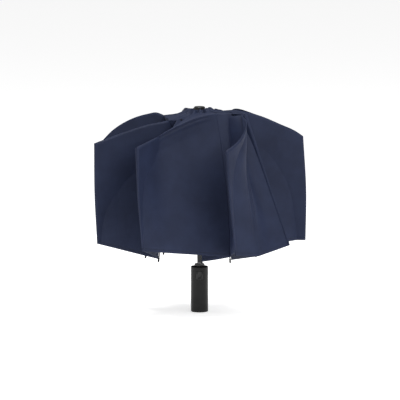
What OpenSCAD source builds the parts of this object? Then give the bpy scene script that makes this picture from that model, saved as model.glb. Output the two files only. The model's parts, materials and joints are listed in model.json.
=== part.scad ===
// Three-fold automatic umbrella, stored short: shaft pushed in, ribs folded in a Z, cloth hanging in pleats.
// +Z runs up the shaft, the origin is the centre of the handle's flat base, and -Y is the button's side.
// A rib's own frame has X outwards from the shaft and Y along increasing azimuth. Azimuth 0 is -Y, 90 is +X.

/* [Handle] */
// Diameter of the grip
grip_d = 31.2; // [30:0.2:34]
// Length of the grip
grip_h = 83; // [80:1:86]
// Diameter of the collar on the handle's core
collar_d = 18.6; // [17:0.2:20]
// Width and height of the release button
button_size = [13, 15]; // [10:1:16]
// Height of the button's centre
button_z = 67.5; // [64:0.5:70]
// How far the button travels
button_travel = 2; // [1:0.5:2]

/* [Shaft] */
// Height of the whole umbrella, shaft pushed in
total_h = 372; // [371:1:374]
// Outer diameter of the upper tube, which is the widest
upper_tube_d = 8.6; // [8.6:0.1:8.8]
// Wall of each tube
tube_wall = 0.6; // [0.5:0.05:0.6]
// Gap all round between one tube and the next
tube_gap = 0.05; // [0.03:0.01:0.08]

/* [Ribs] */
// Azimuth of the rib at the front
front_azimuth = 3; // [0:1:6]
// Length of the top rib, crown to first knee
top_len = 125; // [120:1:126]
// Length of the middle rib, first knee to second knee
mid_len = 105; // [100:1:106]
// Length of the end rib with its tip
end_len = 258; // [256:1:262]
// Lean of the folded top rib from straight down
top_lean = 22; // [21:0.5:23]
// Direction of the folded middle rib, 180 is straight up
mid_lean = 182.5; // [182:0.5:183]
// Where the stretcher meets the top rib, measured from the crown
stretch_at = 70; // [68:1:72]
// Length of the stretcher
stretch_len = 78; // [76:1:80]
// Thickness of each bar
bar_w = 2; // [1.8:0.1:2]
// Height of each bar
bar_h = 2.6; // [2.4:0.1:3]

/* [Canopy] */
// Thickness of each cloth panel's stand-in
cloth_t = 0.6; // [0.4:0.1:0.8]

/* [Hidden] */
$fn = 48;
RIBS = 8;

// Lean of each end rib from straight down: the loose cloth lets the tips sit at different radii.
end_lean = [13.2, 6.4, 5.1, 11.4, 8.6, 9.8, 8.2, 10.4];
// Outer fold of each gore, gore i being between rib i and rib i + 1:
// [azimuth, radius, height] at its upper corner, then the same at its hem.
fold_top = [[-33, 205, 318], [13, 196, 312], [63, 96, 362], [103, 193, 315],
            [152, 198, 312], [197, 195, 314], [245, 200, 300], [294, 206, 316]];
fold_hem = [[-32, 193, 129], [19, 196, 124], [56, 196, 134], [102, 197, 125],
            [151, 196, 128], [197, 196, 130], [244, 198, 130], [295, 203, 133]];

// Heights along the shaft
recess = 3;
collar_top = grip_h + 4.6;
crown_z = total_h - 10;
notch_low = crown_z - 6;
notch_high = crown_z + 6;
tube_base = collar_top + 1.4;
middle_len = 250;
lower_low = 22;
lower_len = 308;

// Radii
grip_r = grip_d / 2;
grip_wall = 3;
core_r = grip_r - grip_wall - 0.2;
upper_ro = upper_tube_d / 2;
upper_ri = upper_ro - tube_wall;
middle_ro = upper_ri - tube_gap;
middle_ri = middle_ro - tube_wall;
lower_ro = middle_ri - tube_gap;
lower_ri = lower_ro - tube_wall;
notch_r = 11;
cap_r = 10;
crown_pin_x = 9;
runner_pin_x = 11;
runner_r = 6.5;
runner_gap = 0.08;
flange_r = 13.2;
flange_h = 7;

// Bars lie side by side in three lanes, so a folded rib clears itself.
lane_gap = 0.2;
mid_lane = bar_w + lane_gap;
stretch_lane = -mid_lane;
eye_r = 1.7;
rivet_r = 0.7;
rivet_gap = 0.06;
head_r = 1.2;
head_t = 0.4;
slot_gap = 0.15;
rod_r = 1;
tip_r = 1.6;
tip_len = 8;

// Points in a rib's own plane, as [outwards, up]
function along(from, lean, len) = [from[0] + len * sin(lean), from[1] - len * cos(lean)];
crown_pin = [crown_pin_x, crown_z];
knee = along(crown_pin, top_lean, top_len);
elbow = along(knee, mid_lean, mid_len);
joint_pin = along(crown_pin, top_lean, stretch_at);
runner_pin = [runner_pin_x,
              joint_pin[1] - sqrt(pow(stretch_len, 2) - pow(joint_pin[0] - runner_pin_x, 2))];
stretch_lean = 180 - atan2(joint_pin[0] - runner_pin[0], joint_pin[1] - runner_pin[1]);

// A rib's frame, and a point in it moved to the umbrella's frame
function azimuth(i) = front_azimuth + (i - 1) * 360 / RIBS;
function from_rib(i, x, y, z) =
    let (a = azimuth(i) - 90) [x * cos(a) - y * sin(a), x * sin(a) + y * cos(a), z];
function round_shaft(p) = [p[1] * sin(p[0]), -p[1] * cos(p[0]), p[2]];
module on_rib(i) rotate([0, 0, azimuth(i) - 90]) children();

// ---- Bars, rivets and pins ----

// Starts at a point of the rib's plane and runs along X in the direction of the lean
module laid(from, lean, lane = 0)
    translate([from[0], lane, from[1]]) rotate([0, 90 - lean, 0]) children();

// A round pin across the rib's plane
module cross_pin(at, r, low, high)
    translate([at[0], low, at[1]]) rotate([-90, 0, 0]) cylinder(r = r, h = high - low);

// A rivet: shank and two heads
module rivet(at, low, high) {
    cross_pin(at, rivet_r, low, high);
    cross_pin(at, head_r, low - head_t, low);
    cross_pin(at, head_r, high, high + head_t);
}

// Steel channel with an eye at each end. The bores are given as radii.
module channel(len, bore_a, bore_b) {
    groove_from = eye_r + 1.5;
    difference() {
        union() {
            translate([0, -bar_w / 2, -bar_h / 2]) cube([len, bar_w, bar_h]);
            for (x = [0, len]) eye(x);
        }
        translate([groove_from, -bar_w / 2 + 0.45, -bar_h / 2 + 0.6])
            cube([len - 2 * groove_from, bar_w - 0.9, bar_h]);
        bore(0, bore_a);
        bore(len, bore_b);
    }
}
module eye(x)
    translate([x, -bar_w / 2, 0]) rotate([-90, 0, 0]) cylinder(r = eye_r, h = bar_w);
module bore(x, r)
    translate([x, -bar_w, 0]) rotate([-90, 0, 0]) cylinder(r = r, h = 2 * bar_w);

fixed_bore = rivet_r + 0.02;
free_bore = rivet_r + rivet_gap;

module top_rib(i) on_rib(i) color("dimgray") {
    laid(crown_pin, top_lean) channel(top_len, free_bore, fixed_bore);
    rivet(knee, -bar_w / 2 - 0.05, mid_lane + bar_w / 2 + 0.05);
}

module mid_rib(i) on_rib(i) color("dimgray") {
    laid(knee, mid_lean, mid_lane) channel(mid_len, free_bore, fixed_bore);
    rivet(elbow, -bar_w / 2 - 0.05, mid_lane + bar_w / 2 + 0.05);
}

module stretcher(i) on_rib(i) color("dimgray") {
    laid(runner_pin, stretch_lean, stretch_lane) channel(stretch_len, free_bore, fixed_bore);
    rivet(joint_pin, stretch_lane - bar_w / 2 - 0.05, -bar_w / 2 - 0.6);
}

// Round spring-steel end rib with a flattened eye and a plastic tip that holds the cloth's corner
module end_rib(i) on_rib(i) laid(elbow, end_lean[i]) {
    color("dimgray") difference() {
        union() {
            eye(0);
            rotate([0, 90, 0]) cylinder(r = rod_r, h = end_len - tip_len / 2);
        }
        bore(0, free_bore);
    }
    color("black") translate([end_len - tip_len, 0, 0]) rotate([0, 90, 0]) difference() {
        union() {
            cylinder(r = tip_r, h = tip_len - tip_r);
            translate([0, 0, tip_len - tip_r]) sphere(r = tip_r);
        }
        translate([0, 0, -1]) cylinder(r = rod_r + 0.02, h = tip_len / 2 + 1.02);
    }
}

// ---- Handle ----

module handle_grip() color([0.12, 0.12, 0.13]) difference() {
    rotate_extrude() polygon([
        [core_r + 0.2, 2], [grip_r - 1.7, 2], [grip_r - 1.7, 0.3], [grip_r - 1.2, 0.3],
        [grip_r - 0.3, 1.2], [grip_r, 2.4], [grip_r, grip_h - 0.9], [grip_r - 0.8, grip_h],
        [core_r + 0.2, grip_h]]);
    button_hole();
}
module button_hole()
    translate([-button_size[0] / 2 - 0.25, -grip_r - 1, button_z - button_size[1] / 2 - 0.25])
        cube([button_size[0] + 0.5, grip_wall + 4, button_size[1] + 0.5]);

module handle_base() color([0.09, 0.09, 0.1]) {
    cylinder(r = grip_r - 1.8, h = 1.9);
    translate([0, 0, 1.9]) cylinder(r = core_r, h = 8);
}

// Core: holds the lower tube, guides the button and carries the collar on top
module handle_core() color([0.1, 0.1, 0.11]) difference() {
    union() {
        translate([0, 0, 12]) cylinder(r = core_r, h = grip_h - recess - 12);
        translate([0, 0, grip_h - recess]) cylinder(r = collar_d / 2, h = collar_top - grip_h + recess - 1);
        translate([0, 0, collar_top - 1]) cylinder(r = collar_d / 2 - 0.8, h = 1);
    }
    translate([0, 0, lower_low]) cylinder(r = lower_ro + 0.02, h = grip_h);
    translate([-button_size[0] / 2 - 0.25, -grip_r, button_z - button_size[1] / 2 - 0.25])
        cube([button_size[0] + 0.5, grip_r - 6.5, button_size[1] + 0.5]);
}

button_face = grip_r - 0.05;
button_depth = 4.6;
module release_button() color([0.15, 0.15, 0.16]) intersection() {
    translate([0, -button_face + button_depth / 2, button_z])
        cube([button_size[0], button_depth, button_size[1]], center = true);
    translate([0, 0, button_z - button_size[1] / 2]) cylinder(r = button_face, h = button_size[1]);
}

module button_spring() color("silver")
    translate([0, -button_face + button_depth, button_z]) rotate([-90, 0, 0]) difference() {
        cylinder(r = 2.4, h = button_face - button_depth - 6.5);
        translate([0, 0, -1]) cylinder(r = 1.7, h = 12);
    }

// ---- Shaft ----

module tube(ro, ri, low, len) translate([0, 0, low]) difference() {
    cylinder(r = ro, h = len);
    translate([0, 0, -1]) cylinder(r = ri, h = len + 2);
}
module lower_tube() color("silver") tube(lower_ro, lower_ri, lower_low, lower_len);
module middle_tube() color("dimgray") tube(middle_ro, middle_ri, tube_base, middle_len);
module upper_tube() color([0.1, 0.1, 0.1]) tube(upper_ro, upper_ri, tube_base, notch_high - 1 - tube_base);

// Notched crown: eight slots, each with a pin that a top rib turns on
module crown_notch() color([0.1, 0.1, 0.1]) {
    difference() {
        translate([0, 0, notch_low]) cylinder(r = notch_r, h = notch_high - notch_low);
        translate([0, 0, notch_low - 1]) cylinder(r = upper_ro + 0.02, h = notch_high - notch_low);
        for (i = [0:RIBS - 1]) on_rib(i) {
            translate([crown_pin_x - eye_r - 0.6, -bar_w / 2 - slot_gap, notch_low - 1])
                cube([notch_r, bar_w + 2 * slot_gap, crown_z + eye_r + 0.5 - notch_low + 1]);
            cross_pin(crown_pin, fixed_bore, -2.6, 2.6);
        }
    }
    for (i = [0:RIBS - 1]) on_rib(i) cross_pin(crown_pin, rivet_r, -2.5, 2.5);
}

module crown_cap() color([0.08, 0.08, 0.08]) {
    translate([0, 0, notch_high]) cylinder(r = cap_r, h = 2.6);
    translate([0, 0, notch_high + 2.6]) cylinder(r = cap_r - 0.7, h = total_h - notch_high - 2.6);
}

// Runner: sleeve on the upper tube with a slotted flange for the stretchers
module runner() color([0.1, 0.1, 0.1]) {
    rz = runner_pin[1];
    difference() {
        union() {
            translate([0, 0, rz - 26]) cylinder(r = runner_r, h = 26);
            translate([0, 0, rz - 26]) cylinder(r = runner_r + 2, h = 4);
            translate([0, 0, rz - flange_h / 2]) cylinder(r = flange_r, h = flange_h);
        }
        translate([0, 0, rz - 30]) cylinder(r = upper_ro + runner_gap, h = 40);
        for (i = [0:RIBS - 1]) on_rib(i) {
            translate([runner_pin_x - eye_r - 0.5, stretch_lane - bar_w / 2 - slot_gap, rz - eye_r - 0.5])
                cube([flange_r, bar_w + 2 * slot_gap, flange_h]);
            cross_pin(runner_pin, fixed_bore, stretch_lane - 1.9, stretch_lane + 1.9);
        }
    }
    for (i = [0:RIBS - 1]) on_rib(i)
        cross_pin(runner_pin, rivet_r, stretch_lane - 1.8, stretch_lane + 1.8);
}

// ---- Canopy ----

// Gathered cloth round the crown, as a shallow cone
module canopy_crown() color("midnightblue") rotate_extrude()
    polygon([[notch_r + 0.3, notch_high - 1], [notch_r + 0.3, notch_high - 3],
             [46, crown_z - 6], [46, crown_z - 4.6]]);

// Half of a gore as a thin plate from rib i to a gore's outer fold. Side 1 is towards increasing azimuth.
module canopy_panel(i, side) {
    gore = side > 0 ? i : (i + RIBS - 1) % RIBS;
    low = along(elbow, end_lean[i], end_len - 14);
    high = along(elbow, end_lean[i], 6);
    hem_in = from_rib(i, low[0] + 3, side * 1.8, low[1]);
    top_in = from_rib(i, high[0] + 3, side * 1.8, high[1]);
    top_out = short_of(round_shaft(fold_top[gore]), top_in, 2);
    hem_out = short_of(round_shaft(fold_hem[gore]), hem_in, 2);
    edge = [hem_in, top_in, top_out, hem_out];
    out = unit(cross(top_out - hem_in, top_in - hem_out)) * cloth_t * side;
    order = side > 0 ? -1 : 1;
    color("midnightblue") polyhedron(
        points = concat(edge, [for (p = edge) p + out]),
        faces = [for (f = [[0, 1, 2], [0, 2, 3], [6, 5, 4], [7, 6, 4],
                           [1, 0, 4, 5], [2, 1, 5, 6], [3, 2, 6, 7], [0, 3, 7, 4]])
                 order > 0 ? f : [for (k = [len(f) - 1:-1:0]) f[k]]]);
}
function unit(v) = v / norm(v);
function short_of(p, q, gap) = p - unit(p - q) * gap;

handle_grip();
handle_base();
handle_core();
release_button();
button_spring();
lower_tube();
middle_tube();
upper_tube();
crown_notch();
crown_cap();
runner();
canopy_crown();
for (i = [0:RIBS - 1]) {
    top_rib(i);
    mid_rib(i);
    end_rib(i);
    stretcher(i);
    canopy_panel(i, -1);
    canopy_panel(i, 1);
}
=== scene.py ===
# %% [markdown]
# # A folding umbrella, closed and loose
# The umbrella is stored short: shaft pushed in, ribs folded in a Z, and the cloth hanging in pleats.
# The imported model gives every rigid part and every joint, so this lesson only adds looks: the cloth,
# the grip, the button and the cap are modelled again, and everything gets a real finish.

# %% Load the frame
import json
import math

import bmesh
import bpy
import numpy as np
from mathutils import Matrix, Vector


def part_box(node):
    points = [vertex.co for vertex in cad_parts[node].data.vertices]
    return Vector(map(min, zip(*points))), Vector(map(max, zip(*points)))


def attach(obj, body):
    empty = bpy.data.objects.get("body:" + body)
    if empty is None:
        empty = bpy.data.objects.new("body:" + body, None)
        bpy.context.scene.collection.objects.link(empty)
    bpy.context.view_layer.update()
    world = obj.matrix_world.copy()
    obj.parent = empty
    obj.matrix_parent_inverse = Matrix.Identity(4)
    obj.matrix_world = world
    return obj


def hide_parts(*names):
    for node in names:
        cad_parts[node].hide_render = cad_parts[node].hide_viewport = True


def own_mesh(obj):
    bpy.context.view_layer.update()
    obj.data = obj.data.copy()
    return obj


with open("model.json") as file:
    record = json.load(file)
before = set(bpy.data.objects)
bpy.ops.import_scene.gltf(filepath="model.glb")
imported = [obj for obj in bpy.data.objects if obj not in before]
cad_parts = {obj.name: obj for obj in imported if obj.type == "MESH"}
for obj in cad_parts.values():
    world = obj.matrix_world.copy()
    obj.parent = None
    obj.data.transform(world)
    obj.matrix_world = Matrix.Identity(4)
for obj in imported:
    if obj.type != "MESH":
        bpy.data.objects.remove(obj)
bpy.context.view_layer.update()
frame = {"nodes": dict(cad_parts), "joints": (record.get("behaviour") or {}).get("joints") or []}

MM = 0.001
nodes = frame["nodes"]
joints = {j["name"]: j for j in frame["joints"]}
print(len(nodes), "nodes and", len(joints), "joints in the frame")

# %% [markdown]
# ## Colour and node helpers
# Finishes are described with the hex codes a paint or cloth card gives. Blender wants linear light,
# so one function converts them. A second small function adds any shader node with its settings and
# links, which keeps each material short enough to read as a recipe.

# %% Colour and node helpers
def linear(code):
    """The linear RGBA of an sRGB hex code."""
    out = []
    for k in (1, 3, 5):
        c = int(code[k:k + 2], 16) / 255
        out.append(c / 12.92 if c <= 0.04045 else ((c + 0.055) / 1.055) ** 2.4)
    return (*out, 1.0)


def add(tree, kind, settings=None, **inputs):
    """A shader node. Inputs go by name, or as i0, i1 and so on where names repeat."""
    node = tree.nodes.new(kind)
    for key, value in (settings or {}).items():
        setattr(node, key, value)
    for key, value in inputs.items():
        by_number = key[0] == "i" and key[1:].isdigit()
        socket = node.inputs[int(key[1:]) if by_number else key.replace("_", " ")]
        if isinstance(value, bpy.types.NodeSocket):
            tree.links.new(value, socket)
        else:
            socket.default_value = value
    return node


def material(name, **inputs):
    made = bpy.data.materials.new(name)
    made.use_nodes = True
    tree = made.node_tree
    shader = tree.nodes["Principled BSDF"]
    for key, value in inputs.items():
        shader.inputs[key.replace("_", " ")].default_value = value
    return made, tree, shader


def join(tree, out, socket):
    tree.links.new(out, socket)


print("navy turns to", [round(c, 4) for c in linear("#2b3044")])

# %% [markdown]
# ## The cloth's finish
# The cover is pongee, a tight plain weave of polyester dyed navy. Its threads are about 0.15 mm
# apart, too fine to see from here, so the weave is drawn at 0.9 mm. The eye reads pongee by its soft
# bluish sheen where it turns away, and by faint creases left from being folded in its sleeve.

# %% Pongee
def pongee():
    made, tree, shader = material("navy_pongee_polyester", Roughness=0.6, Sheen_Weight=0.08,
                                  Sheen_Roughness=0.4, Sheen_Tint=linear("#7f8cc0"),
                                  Specular_IOR_Level=0.15)
    place = add(tree, "ShaderNodeUVMap", {"uv_map": "cloth"})
    apart = add(tree, "ShaderNodeSeparateXYZ", Vector=place.outputs["UV"])
    here = add(tree, "ShaderNodeTexCoord")
    # Uneven dye and wear, patches of about 40 mm
    patches = add(tree, "ShaderNodeTexNoise", Vector=here.outputs["Object"], Scale=1 / (40 * MM),
                  Detail=4.0, Roughness=0.6)
    dye = add(tree, "ShaderNodeValToRGB", Fac=patches.outputs["Fac"])
    for stop, (place_on_ramp, code) in zip(dye.color_ramp.elements, ((0.35, "#1d2337"), (0.68, "#22293f"))):
        stop.position, stop.color = place_on_ramp, linear(code)
    # Warp and weft, one wave each way, drawn coarse enough to show
    turn = 2 * math.pi / (0.9 * MM)
    warp, weft = (add(tree, "ShaderNodeMath", {"operation": "SINE"},
                      i0=add(tree, "ShaderNodeMath", {"operation": "MULTIPLY"}, i0=apart.outputs[axis],
                             i1=turn).outputs[0]) for axis in "XY")
    weave = add(tree, "ShaderNodeMath", {"operation": "MULTIPLY"}, i0=warp.outputs[0], i1=weft.outputs[0])
    # Fine creases of about 15 mm, stretched along the folds
    spread = add(tree, "ShaderNodeMapping", Vector=here.outputs["Object"], Scale=(1.0, 1.0, 0.35))
    crease = add(tree, "ShaderNodeTexNoise", {"noise_dimensions": "3D"}, Vector=spread.outputs["Vector"],
                 Scale=60.0, Detail=5.0, Roughness=0.55, Distortion=0.6)
    # The hem's stitching: a row of 2.5 mm stitches 5 mm above the edge
    row = add(tree, "ShaderNodeMath", {"operation": "COMPARE"}, i0=apart.outputs["Y"], i1=5 * MM,
              i2=0.45 * MM)
    dash = add(tree, "ShaderNodeMath", {"operation": "SINE"},
               i0=add(tree, "ShaderNodeMath", {"operation": "MULTIPLY"}, i0=apart.outputs["X"],
                      i1=2 * math.pi / (2.5 * MM)).outputs[0])
    shown = add(tree, "ShaderNodeMath", {"operation": "GREATER_THAN"}, i0=dash.outputs[0], i1=-0.4)
    stitch = add(tree, "ShaderNodeMath", {"operation": "MULTIPLY"}, i0=row.outputs[0], i1=shown.outputs[0])
    tint = add(tree, "ShaderNodeMix", {"data_type": "RGBA"}, i0=stitch.outputs[0], i6=dye.outputs["Color"],
               i7=linear("#10131f"))
    join(tree, tint.outputs[2], shader.inputs["Base Color"])
    low = add(tree, "ShaderNodeBump", Strength=0.12, Distance=0.5 * MM, Height=crease.outputs["Fac"])
    mid = add(tree, "ShaderNodeBump", Strength=0.06, Distance=0.15 * MM, Height=weave.outputs[0],
              Normal=low.outputs["Normal"])
    top = add(tree, "ShaderNodeBump", {"invert": True}, Strength=0.5, Distance=0.3 * MM,
              Height=stitch.outputs[0], Normal=mid.outputs["Normal"])
    join(tree, top.outputs["Normal"], shader.inputs["Normal"])
    return made


cloth = pongee()
print("made", cloth.name)

# %% [markdown]
# ## The hard finishes
# The grip is ABS dipped in a soft-touch rubber coat, which is dull with a broad highlight. The button,
# collar and crown are bare moulded ABS or nylon. The tubes are steel with a thin black enamel, and the
# ribs are steel with a grey-black plating that shows fine draw lines along them.

# %% Hard finishes
def speckled(name, code, roughness, spread, grain_mm, bump, **inputs):
    """A moulded or coated surface: one colour, fine grain in bump and a little unevenness in gloss."""
    made, tree, shader = material(name, Base_Color=linear(code), **inputs)
    here = add(tree, "ShaderNodeTexCoord")
    cloudy = add(tree, "ShaderNodeTexNoise", Vector=here.outputs["Object"], Scale=1 / (12 * MM), Detail=3.0)
    gloss = add(tree, "ShaderNodeMapRange", Value=cloudy.outputs["Fac"], To_Min=roughness - spread,
                To_Max=roughness + spread)
    join(tree, gloss.outputs["Result"], shader.inputs["Roughness"])
    grain = add(tree, "ShaderNodeTexNoise", Vector=here.outputs["Object"], Scale=1 / (grain_mm * MM),
                Detail=2.0)
    relief = add(tree, "ShaderNodeBump", Strength=bump, Distance=0.1 * MM, Height=grain.outputs["Fac"])
    join(tree, relief.outputs["Normal"], shader.inputs["Normal"])
    return made


def drawn(name, code, roughness, metallic, line_mm, stretch):
    """Drawn or rolled steel: fine lines along the piece, drawn coarse enough to show."""
    made, tree, shader = material(name, Metallic=metallic)
    here = add(tree, "ShaderNodeTexCoord")
    along = add(tree, "ShaderNodeMapping", Vector=here.outputs["Object"], Scale=(1.0, 1.0, stretch))
    lines = add(tree, "ShaderNodeTexNoise", Vector=along.outputs["Vector"], Scale=1 / (line_mm * MM),
                Detail=3.0)
    gloss = add(tree, "ShaderNodeMapRange", Value=lines.outputs["Fac"], To_Min=roughness - 0.1,
                To_Max=roughness + 0.12)
    join(tree, gloss.outputs["Result"], shader.inputs["Roughness"])
    shade = add(tree, "ShaderNodeMix", {"data_type": "RGBA"}, i0=lines.outputs["Fac"], i6=linear(code),
                i7=tuple(0.72 * c for c in linear(code)[:3]) + (1.0,))
    join(tree, shade.outputs[2], shader.inputs["Base Color"])
    relief = add(tree, "ShaderNodeBump", Strength=0.15, Distance=0.05 * MM, Height=lines.outputs["Fac"])
    join(tree, relief.outputs["Normal"], shader.inputs["Normal"])
    return made


soft_touch = speckled("rubber_coated_abs", "#0b0c0c", 0.44, 0.05, 0.5, 0.2, Specular_IOR_Level=0.28)
moulded = speckled("moulded_black_abs", "#111213", 0.38, 0.06, 0.4, 0.15)
button_abs = speckled("semi_gloss_button_abs", "#101112", 0.34, 0.05, 0.4, 0.1, Specular_IOR_Level=0.35)
nylon = speckled("moulded_black_nylon", "#0c0c0d", 0.35, 0.08, 0.4, 0.15)
enamel = drawn("black_enamelled_steel_tube", "#1a1a1c", 0.3, 0.35, 0.6, 0.05)
plated = drawn("grey_black_plated_rib_steel", "#2e2f32", 0.38, 0.8, 0.4, 0.05)
bright = drawn("nickel_plated_steel", "#b8b9bb", 0.28, 1.0, 0.4, 0.05)
print("made", len(bpy.data.materials), "materials")

# %% [markdown]
# ## Dressing the carried-over parts
# The ribs, tubes, runner, crown and core have the right shape already, so they stay as they are and
# only get their finish.

# %% Dress the frame
def dress(names, finish):
    for name in names:
        mesh = nodes[name].data
        mesh.materials.clear()
        mesh.materials.append(finish)


numbers = range(1, 9)
dress([f"{kind}_{n}" for kind in ("top_rib", "mid_rib", "end_rib", "stretcher") for n in numbers], plated)
dress(["upper_tube", "middle_tube"], enamel)
dress(["lower_tube", "button_spring"], bright)
dress(["crown_notch", "crown_cap", "runner"], nylon)
dress(["handle_core", "handle_base"], moulded)
dress(["handle_grip"], soft_touch)
dress(["release_button"], button_abs)
dress([n for n in nodes if n.startswith("canopy")], cloth)
print("dressed", sum(len(o.data.materials) == 1 for o in nodes.values()), "nodes")

# %% [markdown]
# ## Lines and surfaces for the cloth
# Each gore of the cover is folded outwards between two ribs. Its two walls meet in a fold that runs
# from the crown, along the top of the fin, and down to the hem. Four smooth lines bound each wall:
# the rib, the fold, the hem and the ridge. A patch stretched between them is a good start for cloth.

# %% Smooth lines and patches
def polar(azimuth, radius, height):
    a = math.radians(azimuth)
    return np.array([radius * math.sin(a), -radius * math.cos(a), height])


def smooth_line(knots, t):
    """Points at shares t of the length of a smooth line through the knots."""
    k = np.array(knots, float)
    t = np.asarray(t, float)
    d = np.r_[0, np.cumsum(np.linalg.norm(np.diff(k, axis=0), axis=1))]
    d /= d[-1]
    slope = np.gradient(k, d, axis=0)
    j = np.clip(np.searchsorted(d, t, side="right") - 1, 0, len(d) - 2)
    h = (d[j + 1] - d[j])[:, None]
    w = ((t - d[j]) / (d[j + 1] - d[j]))[:, None]
    return ((1 + 2 * w) * (1 - w) ** 2 * k[j] + w * (1 - w) ** 2 * h * slope[j]
            + w * w * (3 - 2 * w) * k[j + 1] + w * w * (w - 1) * h * slope[j + 1])


def patch(bottom, top, left, right):
    """Points of a surface between four lines, as rows from bottom to top."""
    u, v = share_of(bottom, top), share_of(left, right)
    U, V = u[None, :, None], v[:, None, None]
    ruled = (1 - V) * bottom[None] + V * top[None] + (1 - U) * left[:, None] + U * right[:, None]
    corners = ((1 - U) * (1 - V) * bottom[0] + U * (1 - V) * bottom[-1]
               + (1 - U) * V * top[0] + U * V * top[-1])
    return ruled - corners


def share_of(a, b):
    """The mean share of length along two lines."""
    shares = []
    for line in (a, b):
        d = np.r_[0, np.cumsum(np.linalg.norm(np.diff(line, axis=0), axis=1))]
        shares.append(d / max(d[-1], 1e-9))
    return (shares[0] + shares[1]) / 2


def normals(points):
    """The unit normal at each point of a grid."""
    du, dv = np.gradient(points, axis=1), np.gradient(points, axis=0)
    n = np.cross(du, dv)
    return n / np.maximum(np.linalg.norm(n, axis=2, keepdims=True), 1e-9)


test_end = smooth_line([[0, 0, 0], [3, 4, 0]], [1.0])[0]
print("a test line is", round(float(np.linalg.norm(test_end)), 2), "mm long")

# %% [markdown]
# ## The ribs' lines and the gores' folds
# The ribs' places come from the frame's own joints. The folds are where the loose cloth happens to
# fall, so each has its own line: a ridge from the crown to the fin's upper corner, and a crest from
# there to the hem.

# %% Rib lines and folds
ribs = []
for n in numbers:
    elbow = np.array(joints[f"end_fold_{n}"]["pos_m"]) / MM
    down = -np.array(joints[f"panel_open_{n}b"]["axis"])
    low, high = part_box(f"end_rib_{n}")
    length = (elbow[2] - low.z / MM) / -down[2]
    outwards = np.array([elbow[0], elbow[1], 0]) / np.hypot(*elbow[:2])
    ribs.append({"elbow": elbow, "down": down, "length": length, "out": outwards,
                 "azimuth": math.degrees(math.atan2(elbow[0], -elbow[1]))})

# All in mm. Ridge of each gore, from near the crown to its upper corner
ridges = [
    [polar(-33, 142, 328), polar(-33, 176, 321.5), polar(-33, 206, 316)],
    [(77, -58, 363), (84, -88, 354), (80, -128, 339), (67, -160, 324), (46, -189, 311)],
    [polar(64, 62, 366.5), polar(63, 80, 366), polar(63, 94, 364)],
    [polar(103, 60, 364), polar(103, 107, 354), polar(103, 150, 336), polar(103, 178, 323),
     polar(103, 192, 313.5)],
    [polar(152, 60, 361), polar(152, 110, 350), polar(152, 160, 332), polar(152, 197, 312)],
    [polar(197, 60, 362), polar(197, 110, 352), polar(197, 160, 335), polar(197, 194, 314)],
    [polar(245, 71, 353), polar(245, 84, 357), polar(244, 105, 353.5), polar(243, 140, 342),
     polar(243, 177, 320), polar(243, 200, 298)],
    [(-58, -48, 351), (-93, -57, 344.5), (-140, -70, 330.5), polar(-66, 206, 313.6)],
]
# Crest of each gore, from that corner down to the hem
crests = [
    [polar(-33, 206, 316), polar(-32.5, 203, 220), polar(-32, 193, 129)],
    [(46, -189, 311), polar(16, 196, 215), polar(19, 196, 124)],
    [polar(63, 94, 364), polar(57.5, 145, 249), polar(56, 195, 134)],
    [polar(103, 192, 313.5), polar(102, 197, 215), polar(102, 196, 125)],
    [polar(152, 197, 312), polar(152, 199, 215), polar(151, 195, 128)],
    [polar(197, 194, 314), polar(197, 197, 215), polar(197, 195, 130)],
    [polar(243, 200, 298), polar(244, 202, 215), polar(244, 197, 130)],
    [polar(-66, 206, 313.6), polar(-65.5, 206, 220), polar(-65, 202, 133)],
]
print("ribs at", [round(r["azimuth"]) for r in ribs], "degrees")

# %% [markdown]
# ## Where the cloth meets each rib
# The cover is tied to a rib at its tip and at a few places along it, so it mostly follows the rib.
# On two ribs at the front the slack has been pushed outwards: the cloth leaves the rib, runs out to a
# valley of its own and turns there. The hidden part in between is called a tuck here.

# %% Valley lines
OFF_RIB = 3.5  # from the rib's middle to the cloth, mm
ABOVE_TIP = 5.5  # from the rib's end up to the hem, mm


def rib_line(i):
    """Where the cloth would run if it were tight on rib i, from the hem up."""
    r = ribs[i]
    away = np.cross(np.cross(r["down"], r["out"]), r["down"]) * OFF_RIB
    return [r["elbow"] + r["down"] * (r["length"] - ABOVE_TIP) + away * 0.75,
            r["elbow"] + r["down"] * (r["length"] * 0.5) + away,
            r["elbow"] + r["down"] * 12 + away,
            r["elbow"] + r["out"] * 3.0 + np.array([0, 0, 4.5])]


valleys = [rib_line(i) for i in range(8)]
# The two that have left their ribs, and two that only have a top of their own
valleys[1] = [(55, -99, 111), (52, -92, 190), (43, -76, 280), (31, -50, 364)]
valleys[2] = [(106, -152, 119), (98, -141, 200), (85, -127, 280), (84, -92, 338), (80, -56, 362)]
valleys[0][-1] = polar(-42, 60, 352)
valleys[7][-1] = polar(273, 64, 353.5)
# Knots between a valley's top and the start of its ridge, where the two are far apart
ways = {"1b": [(-50, -69, 338)], "2a": [(1, -70, 359.5), (-36, -93, 347)],
        "2b": [(46, -47, 363.5), (62, -44, 364)]}
LOOSE = 5  # a hem this far from its rib, in mm, counts as slid off
slack = [bool(np.linalg.norm(np.array(v[0]) - rib_line(i)[0]) > LOOSE) for i, v in enumerate(valleys)]
print("the cloth has slid off ribs", [i + 1 for i in range(8) if slack[i]])

# %% [markdown]
# ## Folds, bulges and creases
# Cloth that hangs from a few points isn't flat. Each wall bulges a little, has long soft folds that
# fan out from where it is held, a crease beside the ridge on two front walls, and a rounded edge
# where it turns over the fold. Each is a small push along the surface's normal.

# %% Shaping a wall
ACROSS, UP = 72, 72


def spaced(count, ends):
    """Shares from 0 to 1, closer together near both ends."""
    t = np.linspace(0, 1, count)
    return (1 - ends) * t + ends * (0.5 - 0.5 * np.cos(np.pi * t))


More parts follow.
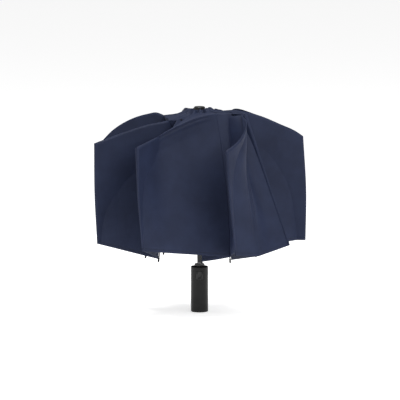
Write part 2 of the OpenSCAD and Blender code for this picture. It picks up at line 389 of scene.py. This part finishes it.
def long_fold(u, v, fold):
    """A fold from a share at the hem to one at the top, its width a share, its height in mm."""
    at_hem, at_top, width, height, from_v, to_v = fold
    centre = at_hem + (at_top - at_hem) * v
    wide = width * (0.6 + 0.6 * (1 - v))
    x = (u - centre) / wide
    soft, sharp = np.exp(-x * x), np.exp(-1.6 * np.abs(x))
    run_out = 0.18
    fade = np.clip((v - from_v) / run_out + 1, 0, 1) * np.clip((to_v - v) / run_out + 1, 0, 1)
    return height * (0.55 * soft + 0.45 * sharp) * fade


def wrinkles(u, v, seed, size):
    """Fine irregular waves, mostly running down the cloth."""
    rng = np.random.default_rng(seed)
    total = np.zeros_like(u)
    for _ in range(14):
        across, up = rng.uniform(6, 30), rng.uniform(-7, 7)
        total += rng.uniform(0.3, 1) * np.sin(2 * np.pi * (across * u + up * v) * 0.5 + rng.uniform(0, 6.3)
                                             + 1.2 * np.sin(2 * np.pi * v * rng.uniform(0.5, 1.5)))
    return size * total / 5


def edge_round(distance, radius):
    """How far a fold's rounded edge stands out, from the distance to the fold line in mm."""
    s = np.clip(distance / radius, 0, 1)
    settles = np.exp(-np.clip(distance - radius, 0, None) / 35)
    return radius * np.sqrt(np.clip(1 - (1 - s) ** 2, 0, 1)) * settles


# For each wall: bulge in mm; long folds; how wrinkled it is; hem, the power that bends the hem's line,
# 1 for straight; crease, the depth in mm of the one beside the ridge; flush, the share of the top from
# the valley that isn't rounded over, where it lies flat against the crown piece
plain = {"bulge": 6, "folds": [(0.35, 0.40, 0.16, 3, 0, 1)], "wrinkled": 0.12, "hem": 2.5, "crease": 0,
         "flush": 0}
shapes = {
    "1a": {"bulge": 5, "wrinkled": 0.08, "hem": 1.0, "crease": 1.6, "folds": [(0.7, 0.6, 0.2, 1.5, 0, 1)]},
    "1b": {"bulge": 0, "wrinkled": 0.05, "hem": 1.2, "folds": []},
    "2a": {"bulge": 9, "wrinkled": 0.06, "hem": 1.0, "crease": 2.0, "folds": []},
    "2b": {"bulge": 0, "flush": 0.5, "wrinkled": 0.1,
           "folds": [(0.2, 0.12, 0.05, 3.5, 0.45, 1), (0.42, 0.32, 0.05, -3.5, 0.45, 1),
                     (0.64, 0.55, 0.05, 3, 0.5, 1)]},
    "3a": {"bulge": 1.5, "wrinkled": 0.05, "hem": 1.0, "folds": []},
    "3b": {"bulge": 2.5, "wrinkled": 0.05, "hem": 1.0, "folds": []},
    "4b": {"bulge": 3, "wrinkled": 0.05, "folds": [(0.84, 0.86, 0.08, 4, 0, 1)]},
}
print("walls with their own folds:", sorted(shapes))

# %% [markdown]
# ## Building a wall
# A wall is a grid of points, moved as the cell above says, and given a UV map in metres of cloth, so
# that weave and stitches keep their size. The hem is the lowest 6 mm, doubled over and so slightly
# thicker. Solidify then gives the cloth a thickness.

# %% Build a wall
HEM_HIGH, HEM_EXTRA = 6, 0.35  # the doubled hem and how far it stands out, mm
CREST_ROUND, RIDGE_ROUND = 2.2, 1.8  # radii of the folds' edges, mm
TUCK_STEPS, TUCK_SWAY = 25, 4.0  # points across the strip, and how far it bows aside in mm


def wall_name(i, side):
    return f"{i + 1}{'b' if side > 0 else 'a'}"


def gore_of(i, side):
    return i if side > 0 else (i + 7) % 8


def upper_edge(i, side, t):
    """From the top of rib i's valley to the upper corner of its gore."""
    return smooth_line([valleys[i][-1], *ways.get(wall_name(i, side), []), *ridges[gore_of(i, side)]], t)


def ramp(distance, over):
    return np.clip(distance / over, 0, 1)


def rounded_and_creased(points, u, inside, shape):
    """The push at the wall's edges: rounded crest and ridge, doubled hem and the crease by the ridge."""
    to_crest = np.linalg.norm(points - points[:, -1:, :], axis=2)
    to_ridge = np.linalg.norm(points - points[-1:, :, :], axis=2)
    steps = np.linalg.norm(np.diff(points, axis=0), axis=2)
    above_hem = np.cumsum(np.r_[np.zeros((1, ACROSS)), steps], axis=0)
    push = edge_round(to_crest, CREST_ROUND) * ramp(to_ridge, 3)
    push = push + edge_round(to_ridge, RIDGE_ROUND) * ramp(to_crest, 3) * ramp(u - shape["flush"], 0.2)
    push = push + HEM_EXTRA * (above_hem < HEM_HIGH)
    return push - shape["crease"] * np.exp(-((to_ridge - 7) / 1.6) ** 2) * ramp(u, 0.2) * inside


def with_tuck(points, i, side, tv):
    """The wall with the strip that runs from its rib out to its valley."""
    inner = smooth_line(rib_line(i), tv)
    over = np.linspace(0, 1, TUCK_STEPS)[None, :-1, None]
    strip = inner[:, None] + (points[:, :1] - inner[:, None]) * over
    aside = np.cross(ribs[i]["down"], ribs[i]["out"]) * side
    return np.concatenate([strip + np.sin(np.pi * over) * TUCK_SWAY * aside, points], axis=1)


def wall_points(i, side):
    shape = {**plain, **shapes.get(wall_name(i, side), {})}
    tu, tv = spaced(ACROSS, 0.55), spaced(UP, 0.35)
    left = smooth_line(valleys[i], tv)
    right = smooth_line(crests[gore_of(i, side)][::-1], tv)
    bottom = left[0] + (right[0] - left[0]) * tu[:, None]
    bottom[:, 2] = left[0][2] + (right[0][2] - left[0][2]) * (1 - (1 - tu) ** shape["hem"])
    points = patch(bottom, upper_edge(i, side, tu), left, right)
    n = normals(points) * -side
    u, v = np.meshgrid(tu, tv)
    inside = ramp(u, 0.12) * ramp(1 - u, 0.12)
    push = shape["bulge"] * np.sin(np.pi * np.clip(u, 0, 1)) ** 0.8 * (0.35 + 0.65 * np.sin(np.pi * v))
    for fold in shape["folds"]:
        push = push + long_fold(u, v, fold) * inside
    push = push + wrinkles(u, v, 10 * i + side + 2, shape["wrinkled"]) * inside
    push = push * ramp(1 - v, 0.12) ** 0.7
    push = push + rounded_and_creased(points, u, inside, shape)
    points = points + n * push[..., None]
    return with_tuck(points, i, side, tv) if slack[i] else points


def grid_mesh(name, points):
    """A mesh from rows of points in mm, with a UV map in metres of cloth."""
    rows, columns = points.shape[:2]
    along = np.cumsum(np.c_[np.zeros(rows), np.linalg.norm(np.diff(points, axis=1), axis=2)], axis=1)
    up = np.cumsum(np.r_[np.zeros((1, columns)), np.linalg.norm(np.diff(points, axis=0), axis=2)], axis=0)
    bm = bmesh.new()
    verts = [[bm.verts.new(points[r, c] * MM) for c in range(columns)] for r in range(rows)]
    layer = bm.loops.layers.uv.new("cloth")
    place = {}
    for r in range(rows):
        for c in range(columns):
            place[verts[r][c]] = (along[r, c] * MM, up[r, c] * MM)
    for r in range(rows - 1):
        for c in range(columns - 1):
            face = bm.faces.new((verts[r][c], verts[r][c + 1], verts[r + 1][c + 1], verts[r + 1][c]))
            face.smooth = True
            for loop in face.loops:
                loop[layer].uv = place[loop.vert]
    mesh = bpy.data.meshes.new(name)
    bm.to_mesh(mesh)
    bm.free()
    return mesh


def show(name, mesh, finish):
    piece = bpy.data.objects.new(name, mesh)
    bpy.context.scene.collection.objects.link(piece)
    mesh.materials.clear()
    mesh.materials.append(finish)
    return piece


CLOTH_THICK = 0.3  # mm


def thicken(piece):
    """Give the cloth its thickness, enough for its edge to show."""
    solid = piece.modifiers.new("cloth thickness", "SOLIDIFY")
    solid.thickness = CLOTH_THICK * MM
    solid.offset = 0
    return piece


print("a wall has", ACROSS * UP, "points")

# %% [markdown]
# ## The sixteen walls
# Each wall rides on its own half-gore, which turns about the end rib. On the real umbrella a slack wall is
# pulled tight as it opens, towards the plane through its rib and its fold; here that plane's normal is
# worked out, but nothing uses it. All sixteen come from the same cut: the half gore beyond the elbow, 258
# mm long and 197 mm wide at the hem.


for i in range(8):
    for side in (-1, 1):
        name = wall_name(i, side)
        points = wall_points(i, side)
        wall = thicken(show(f"canopy_wall_{name}", grid_mesh(f"canopy_wall_{name}", points), cloth))
        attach(wall, f"canopy_panel_{name}")
        to_fold = points[UP // 2, -1] - ribs[i]["elbow"]
        flat_normal = np.cross(ribs[i]["down"], to_fold)
        flat_normal /= np.linalg.norm(flat_normal)
        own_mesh(wall)
        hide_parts(f"canopy_panel_{name}")

# %% [markdown]
# ## The cloth round the crown
# The gores are gathered where they are clamped at the crown, so loops stand up round it and small
# pleats fan out between them. The ring follows the walls' upper edges, which keeps the cover whole.

# %% Crown gathers
NECK, NECK_HIGH = 11.6, 366.4  # where the cloth is clamped under the cap, mm


def gathered(points, rise):
    """Lift a part of the ring into loops near the crown and finer pleats round them."""
    radius = np.hypot(points[..., 0], points[..., 1])
    angle = np.arctan2(points[..., 0], -points[..., 1])
    loops = np.sin(angle * 11 + 1.4 * np.sin(angle * 3 + 0.6)) * np.exp(-((radius - 20) / 7) ** 2)
    pleats = np.sin(angle * 27 + 0.8 * np.sin(angle * 5)) * np.exp(-((radius - 19) / 11) ** 2)
    points[..., 2] += (4.6 * loops + 1.0 * pleats) * (ramp(rise, 0.12) * ramp(1 - rise, 0.3))[:, None]
    return points


def ring_part(i, side):
    """The ring from rib i to the middle of the gore on one side of it."""
    start = np.array(valleys[i][-1], float)
    end = np.array(ridges[gore_of(i, side)][0], float)
    edge = upper_edge(i, side, spaced(ACROSS, 0.55))
    outer = edge[: int(np.argmin(np.linalg.norm(edge - end, axis=1))) + 1]
    turn = np.linspace(ribs[i]["azimuth"], ribs[i]["azimuth"] + side * 22.5, len(outer))
    inner = np.array([polar(a, NECK, NECK_HIGH) for a in turn])
    rise = np.linspace(0, 1, 18)
    left = smooth_line([inner[0], (inner[0] + start) / 2 - (0, 0, 2.5), start], rise)
    right = smooth_line([inner[-1], (inner[-1] + end) / 2 - (0, 0, 2), end], rise)
    right[-1] = outer[-1]
    return gathered(patch(inner, outer, left, right), rise)


def crown_ring():
    bm = bmesh.new()
    layer = bm.loops.layers.uv.new("cloth")
    for points in (ring_part(i, side) for i in range(8) for side in (-1, 1)):
        grid = [[bm.verts.new(p * MM) for p in row] for row in points]
        for low, high in zip(grid, grid[1:]):
            for c in range(len(low) - 1):
                face = bm.faces.new((low[c], low[c + 1], high[c + 1], high[c]))
                face.smooth = True
                for loop in face.loops:
                    at = loop.vert.co
                    loop[layer].uv = (math.atan2(at.x, -at.y) * 0.03, 0.02 + math.hypot(at.x, at.y))
    bmesh.ops.remove_doubles(bm, verts=bm.verts, dist=0.05 * MM)
    bmesh.ops.recalc_face_normals(bm, faces=bm.faces)
    mesh = bpy.data.meshes.new("canopy_gathers")
    bm.to_mesh(mesh)
    bm.free()
    return mesh


gathers = thicken(show("canopy_gathers", crown_ring(), cloth))
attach(gathers, "upper")
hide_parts("canopy_crown")
print("gathers have", len(gathers.data.polygons), "faces")

# %% [markdown]
# ## Tools for the hard pieces
# Round pieces are spun from a profile and their corners rounded, as on a lathe. Flat ones start as a
# block with rounded corners. A pocket is cut with a second piece, as a mould's slide would leave it.

# %% Spin a profile, make a rounded block, cut one with the other
SHARP = 0.35  # the angle in radians above which a spun corner is rounded


def spun(name, profile, rounding, finish, steps=96):
    """Spin a closed (radius, height) profile in mm round the shaft."""
    bm = bmesh.new()
    ring = [bm.verts.new((r * MM, 0, z * MM)) for r, z in profile]
    edges = [bm.edges.new((ring[k - 1], ring[k])) for k in range(len(ring))]
    bmesh.ops.spin(bm, geom=ring + edges, cent=(0, 0, 0), axis=(0, 0, 1), angle=2 * math.pi,
                   steps=steps, use_merge=True)
    bmesh.ops.remove_doubles(bm, verts=bm.verts, dist=0.01 * MM)
    bmesh.ops.recalc_face_normals(bm, faces=bm.faces)
    corners = [e for e in bm.edges if len(e.link_faces) == 2 and e.calc_face_angle(0) > SHARP]
    bmesh.ops.bevel(bm, geom=corners, offset=rounding * MM, segments=3, profile=0.5, affect="EDGES",
                    material=-1)
    for face in bm.faces:
        face.smooth = True
    mesh = bpy.data.meshes.new(name)
    bm.to_mesh(mesh)
    bm.free()
    return show(name, mesh, finish)


def block(name, middle, size, corner, finish):
    """A block in mm whose corners are rounded as seen from the front."""
    bm = bmesh.new()
    bmesh.ops.create_cube(bm, size=1)
    for v in bm.verts:
        v.co = Vector([(m + c * s) * MM for m, c, s in zip(middle, v.co, size)])
    upright = [e for e in bm.edges if abs((e.verts[0].co - e.verts[1].co).normalized().y) > 0.9]
    bmesh.ops.bevel(bm, geom=upright, offset=corner * MM, segments=8, profile=0.5, affect="EDGES",
                    material=-1)
    mesh = bpy.data.meshes.new(name)
    bm.to_mesh(mesh)
    bm.free()
    return show(name, mesh, finish)


def carve(piece, tool, how="DIFFERENCE"):
    """Cut piece with tool, or keep what they share, and throw the tool away."""
    change = piece.modifiers.new("carve", "BOOLEAN")
    change.operation, change.object, change.solver = how, tool, "EXACT"
    done = bpy.data.meshes.new_from_object(piece.evaluated_get(bpy.context.evaluated_depsgraph_get()))
    piece.modifiers.clear()
    piece.data = done
    bpy.data.objects.remove(tool)


def soften(piece, width):
    """Round the cut edges a little and shade the faces smoothly."""
    bm = bmesh.new()
    bm.from_mesh(piece.data)
    bmesh.ops.remove_doubles(bm, verts=bm.verts, dist=0.005 * MM)
    sharp = [e for e in bm.edges if len(e.link_faces) == 2 and e.calc_face_angle(0) > math.radians(35)]
    bmesh.ops.bevel(bm, geom=sharp, offset=width * MM, segments=2, profile=0.5, affect="EDGES",
                    material=-1, clamp_overlap=True)
    bmesh.ops.dissolve_degenerate(bm, edges=bm.edges, dist=0.002 * MM)
    bmesh.ops.recalc_face_normals(bm, faces=bm.faces)
    for face in bm.faces:
        face.smooth = True
    bm.to_mesh(piece.data)
    bm.free()


print("corners above", round(math.degrees(SHARP)), "degrees are rounded")

# %% [markdown]
# ## Grip, button and cap
# The grip is a moulded sleeve with a soft rubbery coat. Its lower end closes round the base, which
# comes 0.3 mm out below it. The button is trimmed to the grip's round, so it lies nearly flush, and has
# a shallow dish for the thumb. The cap is a small domed disc over the clamped cloth.

# %% Grip, button and cap
GRIP, TOP, BORE = 15.6, 83.0, 12.65  # the sleeve's radius, its top and its bore's radius, mm
BUTTON_HIGH, FACE = 67.5, 15.5  # the middle of the button, and the radius of its face, mm
grip = spun("grip_sleeve", [(BORE, 2), (13.9, 2), (13.9, 0.3), (14.5, 0.3), (15.45, 1.0), (GRIP, 2.2),
                            (GRIP, 56), (GRIP, 79), (GRIP, TOP - 1.6), (15.1, TOP - 0.4), (14.4, TOP),
                            (BORE, TOP)], 0.25, soft_touch)
carve(grip, block("pocket", (0, -15, BUTTON_HIGH), (13.5, 8, 15.5), 3.2, soft_touch))
grip.data.set_sharp_from_angle(angle=math.radians(30))
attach(grip, "handle")
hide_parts("handle_grip")

button = block("thumb_button", (0, -13.3, BUTTON_HIGH), (13, 5, 15), 3.0, button_abs)
carve(button, spun("round_face", [(0, 55), (FACE, 55), (FACE, 80), (0, 80)], 0.05, button_abs), "INTERSECT")
carve(button, block("dish", (0, -GRIP, BUTTON_HIGH), (8.6, 1.1, 10.6), 2.4, button_abs))
soften(button, 0.35)
button.data.set_sharp_from_angle(angle=math.radians(40))
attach(button, "button")
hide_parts("release_button")

cap_low, cap_high = (c[2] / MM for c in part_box("crown_cap"))
cap = spun("crown_button", [(0, cap_low), (10, cap_low), (10, cap_low + 2.6), (9.4, cap_low + 3.1),
                            (9.2, cap_high - 0.9), (8.2, cap_high - 0.25), (0, cap_high)], 0.2, nylon)
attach(cap, "upper")
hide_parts("crown_cap")
print("grip, button and cap have", [len(o.data.polygons) for o in (grip, button, cap)], "faces")

# %% [markdown]
# ## Rib tips
# Each end rib carries a small moulded tip that the cloth's corner is sewn to. They hang just below the
# hem, and the eye counts the ribs by them, so they get a bullet shape and a waist for the thread.

# %% Tips
BULLET = [(0, -7.5), (1.5, -7.5), (1.75, -6.5), (1.2, -5.6), (1.2, -5.0), (1.75, -4.2), (1.8, -1.2),
          (1.3, -0.2), (0, 0.2)]
ends = [rib["elbow"] + rib["down"] * rib["length"] for rib in ribs]
for i, (rib, end) in enumerate(zip(ribs, ends)):
    tip = spun(f"rib_tip_{i + 1}", BULLET, 0.12, nylon, steps=24)
    tip.data.transform(Vector(rib["down"]).to_track_quat("Z", "Y").to_matrix().to_4x4())
    tip.data.transform(Matrix.Translation(Vector(end * MM)))
    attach(tip, f"end_rib_{i + 1}")
print("tips at heights", [round(float(end[2])) for end in ends])

# %% [markdown]
# ## Studio, light and camera
# A pale floor and three soft lights: a large key high at the front right, a broad weak fill from the
# left and one from above. The backdrop is seen white but lights the folds less than that, so the
# valleys stay dark. The camera is far off with a long lens and looks slightly down.

# %% Studio
floor_mesh = bpy.data.meshes.new("floor")
bm = bmesh.new()
bmesh.ops.create_grid(bm, x_segments=1, y_segments=1, size=30)
bm.to_mesh(floor_mesh)
bm.free()
floor_finish = material("pale_floor", Base_Color=linear("#fcfcfc"), Roughness=0.9,
                        Emission_Color=(1, 1, 1, 1), Emission_Strength=0.66)[0]
floor = show("floor", floor_mesh, floor_finish)
floor.location.z = -0.0005

world = bpy.data.worlds.new("studio")
bpy.context.scene.world = world
world.use_nodes = True
backdrop = world.node_tree.nodes["Background"]
backdrop.inputs["Color"].default_value = (1, 1, 1, 1)
LIT_BY_SKY = 0.25  # the backdrop is seen at full white but lights the object this much
ray = add(world.node_tree, "ShaderNodeLightPath")
lit = add(world.node_tree, "ShaderNodeMath", {"operation": "MULTIPLY_ADD"}, i0=ray.outputs["Is Camera Ray"],
          i1=1 - LIT_BY_SKY, i2=LIT_BY_SKY)
join(world.node_tree, lit.outputs[0], backdrop.inputs["Strength"])


def light(name, at, size, power):
    lamp = bpy.data.lights.new(name, "AREA")
    lamp.shape, lamp.size, lamp.energy = "DISK", size, power
    made = bpy.data.objects.new(name, lamp)
    bpy.context.scene.collection.objects.link(made)
    made.location = at
    made.rotation_euler = (Vector((0, 0, 0.22)) - Vector(at)).to_track_quat("-Z", "Y").to_euler()


light("key", (1.6, -2.2, 2.2), 2.6, 66)
light("fill", (-2.2, -1.4, 1.0), 1.8, 4)
light("top", (-0.2, -0.2, 2.6), 1.6, 52)

camera = bpy.data.objects.new("camera", bpy.data.cameras.new("camera"))
bpy.context.scene.collection.objects.link(camera)
bpy.context.scene.camera = camera
camera.data.lens, camera.data.sensor_width = 600, 36
camera.data.clip_start, camera.data.clip_end = 1, 60
tilt = math.radians(6.5)
aim = Vector((0.0009, 0, 0.2024))
AWAY = 12.0  # metres
camera.location = aim + Vector((0, -math.cos(tilt), math.sin(tilt))) * AWAY
camera.rotation_euler = (aim - camera.location).to_track_quat("-Z", "Y").to_euler()
bpy.context.scene.view_settings.view_transform = "Standard"
print("camera at", [round(c, 2) for c in camera.location])

# %% [markdown]
# ## Bringing the scene up to date
# The cloth may stand slightly proud of the rigid model. This cell only brings the scene up to date.

# %% Bring the scene up to date
bpy.context.view_layer.update()
